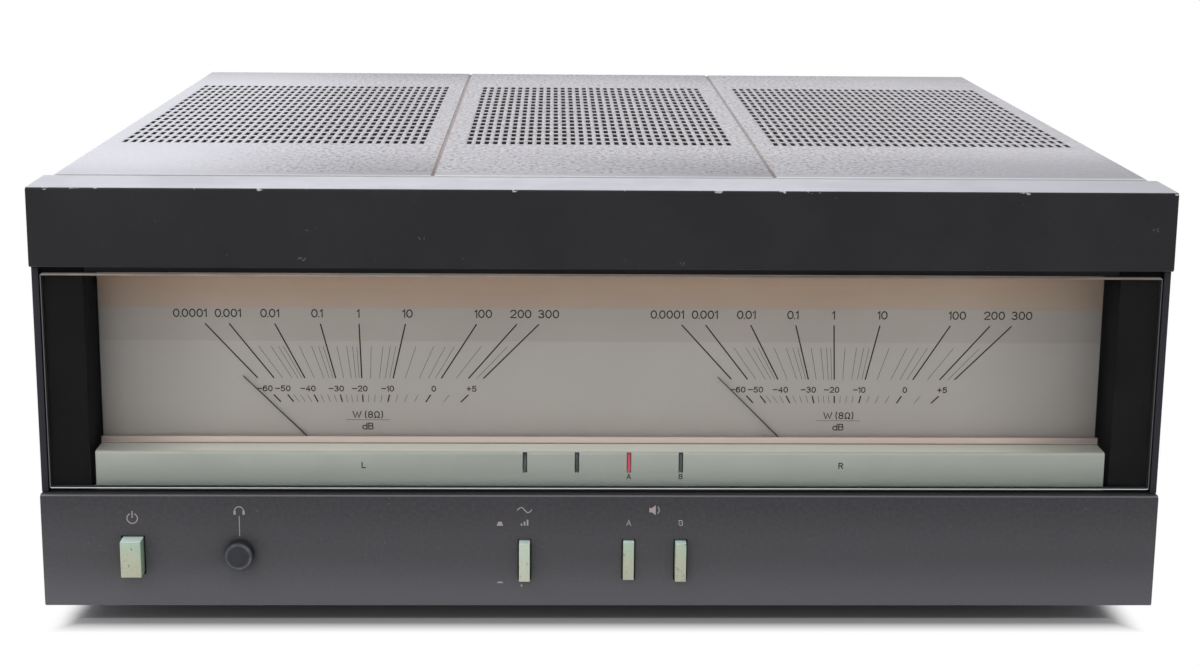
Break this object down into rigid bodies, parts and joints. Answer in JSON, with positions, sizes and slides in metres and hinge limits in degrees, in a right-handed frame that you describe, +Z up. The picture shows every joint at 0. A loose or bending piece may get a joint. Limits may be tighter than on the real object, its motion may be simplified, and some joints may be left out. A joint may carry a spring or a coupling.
{
  "type": "stereo power amplifier",
  "caption": "Stereo power amplifier in a low steel cabinet with a heavy front, a wide glass window over two level meters, push buttons, a headphone socket and rear speaker terminals",
  "frame": {"origin": "on the surface that the feet stand on, under the middle of the amplifier's overall length and width", "axes": "+X to the right seen from the front, +Y from the front to the back, +Z up"},
  "size_m": [0.45, 0.4244, 0.1842],
  "materials": {
    "header_paint": "satin",
    "panel_paint": "satin",
    "black_trim": "matte",
    "window_glass": "gloss",
    "dial_print": "matte",
    "clear_plastic": "gloss",
    "ledge_moulding": "satin",
    "lens_dark": "gloss",
    "lens_red": "gloss",
    "needle": "matte",
    "plated_steel": "satin",
    "button_metal": "satin",
    "black_plastic": "satin",
    "rubber": "matte",
    "cover_paint": "crinkle",
    "rear_paint": "matte",
    "heat_sink": "satin",
    "transistor_can": "satin",
    "circuit_board": "satin",
    "core_steel": "varnished",
    "winding": "varnished",
    "capacitor_sleeve": "gloss",
    "terminal_black": "gloss",
    "terminal_red": "gloss",
    "plated_brass": "satin"
  },
  "bodies": {
    "cabinet": {"header_panel": "header_paint", "lower_panel": "panel_paint", "window_end_left": "black_trim", "window_end_right": "black_trim", "window_glass": "window_glass", "scale_plate": "dial_print", "light_guide": "clear_plastic", "window_ledge": "ledge_moulding", "indicator_lens_1": "lens_dark", "indicator_lens_2": "lens_dark", "indicator_lens_3": "lens_red", "indicator_lens_4": "lens_dark", "meter_movement_left": "black_plastic", "meter_movement_right": "black_plastic", "front_subchassis": "plated_steel", "power_switch": "black_plastic", "switch_bank": "black_plastic", "phones_jack": "plated_steel", "top_cover": "cover_paint", "base_plate": "plated_steel", "foot_front_left": "rubber", "foot_front_right": "rubber", "foot_back_left": "rubber", "foot_back_right": "rubber", "heat_sink_left": "heat_sink", "heat_sink_right": "heat_sink", "output_transistor_left_1": "transistor_can", "output_transistor_left_2": "transistor_can", "output_transistor_right_1": "transistor_can", "output_transistor_right_2": "transistor_can", "amp_board_left": "circuit_board", "amp_board_right": "circuit_board", "transformer_core": "core_steel", "transformer_coil": "winding", "filter_capacitor_left": "capacitor_sleeve", "filter_capacitor_right": "capacitor_sleeve", "supply_board": "circuit_board", "rectifier": "black_plastic", "speaker_relay": "clear_plastic", "rear_panel": "rear_paint", "terminal_block": "black_plastic", "input_jack_left": "plated_brass", "input_jack_right": "plated_brass", "fuse_holder": "black_plastic", "cord_gland": "rubber"},
    "left_needle": {"meter_needle_left": "needle"},
    "right_needle": {"meter_needle_right": "needle"},
    "power_key": {"power_button": "button_metal"},
    "output_key": {"output_button": "button_metal"},
    "main_speaker_key": {"speaker_button_main": "button_metal"},
    "remote_speaker_key": {"speaker_button_remote": "button_metal"},
    "phones_dust_cap": {"phones_cap": "rubber"},
    "speaker_cap_1": {"terminal_cap_1": "terminal_black"},
    "speaker_cap_2": {"terminal_cap_2": "terminal_black"},
    "speaker_cap_3": {"terminal_cap_3": "terminal_black"},
    "speaker_cap_4": {"terminal_cap_4": "terminal_black"},
    "speaker_cap_5": {"terminal_cap_5": "terminal_red"},
    "speaker_cap_6": {"terminal_cap_6": "terminal_red"},
    "speaker_cap_7": {"terminal_cap_7": "terminal_red"},
    "speaker_cap_8": {"terminal_cap_8": "terminal_red"}
  },
  "joints": [
    {"name": "left_needle_swing", "type": "hinge", "parent": "cabinet", "child": "left_needle", "pos_m": [-0.09632, -0.1868, 0.0538], "axis": [0, 1, 0], "range_deg": [0, 92], "stiffness_Nm_per_rad": 0.0004, "springref_deg": -17.19},
    {"name": "right_needle_swing", "type": "hinge", "parent": "cabinet", "child": "right_needle", "pos_m": [0.09632, -0.1868, 0.0538], "axis": [0, 1, 0], "range_deg": [0, 92], "stiffness_Nm_per_rad": 0.0004, "springref_deg": -17.19},
    {"name": "power_push", "type": "slide", "parent": "cabinet", "child": "power_key", "axis": [0, 1, 0], "range_m": [0, 0.004], "stiffness_N_per_m": 400},
    {"name": "output_push", "type": "slide", "parent": "cabinet", "child": "output_key", "axis": [0, 1, 0], "range_m": [0, 0.0025], "stiffness_N_per_m": 300},
    {"name": "main_speaker_push", "type": "slide", "parent": "cabinet", "child": "main_speaker_key", "axis": [0, 1, 0], "range_m": [-0.002, 0.0005]},
    {"name": "remote_speaker_push", "type": "slide", "parent": "cabinet", "child": "remote_speaker_key", "axis": [0, 1, 0], "range_m": [0, 0.0025], "stiffness_N_per_m": 300},
    {"name": "phones_cap_pull", "type": "slide", "parent": "cabinet", "child": "phones_dust_cap", "axis": [0, -1, 0], "range_m": [0, 0.015]},
    {"name": "speaker_cap_1_turn", "type": "hinge", "parent": "cabinet", "child": "speaker_cap_1", "pos_m": [-0.036, 0.2042, 0.088], "axis": [0, 1, 0], "range_deg": [0, 540]},
    {"name": "speaker_cap_2_turn", "type": "hinge", "parent": "cabinet", "child": "speaker_cap_2", "pos_m": [-0.012, 0.2042, 0.088], "axis": [0, 1, 0], "range_deg": [0, 540]},
    {"name": "speaker_cap_3_turn", "type": "hinge", "parent": "cabinet", "child": "speaker_cap_3", "pos_m": [0.012, 0.2042, 0.088], "axis": [0, 1, 0], "range_deg": [0, 540]},
    {"name": "speaker_cap_4_turn", "type": "hinge", "parent": "cabinet", "child": "speaker_cap_4", "pos_m": [0.036, 0.2042, 0.088], "axis": [0, 1, 0], "range_deg": [0, 540]},
    {"name": "speaker_cap_5_turn", "type": "hinge", "parent": "cabinet", "child": "speaker_cap_5", "pos_m": [-0.036, 0.2042, 0.112], "axis": [0, 1, 0], "range_deg": [0, 540]},
    {"name": "speaker_cap_6_turn", "type": "hinge", "parent": "cabinet", "child": "speaker_cap_6", "pos_m": [-0.012, 0.2042, 0.112], "axis": [0, 1, 0], "range_deg": [0, 540]},
    {"name": "speaker_cap_7_turn", "type": "hinge", "parent": "cabinet", "child": "speaker_cap_7", "pos_m": [0.012, 0.2042, 0.112], "axis": [0, 1, 0], "range_deg": [0, 540]},
    {"name": "speaker_cap_8_turn", "type": "hinge", "parent": "cabinet", "child": "speaker_cap_8", "pos_m": [0.036, 0.2042, 0.112], "axis": [0, 1, 0], "range_deg": [0, 540]}
  ]
}
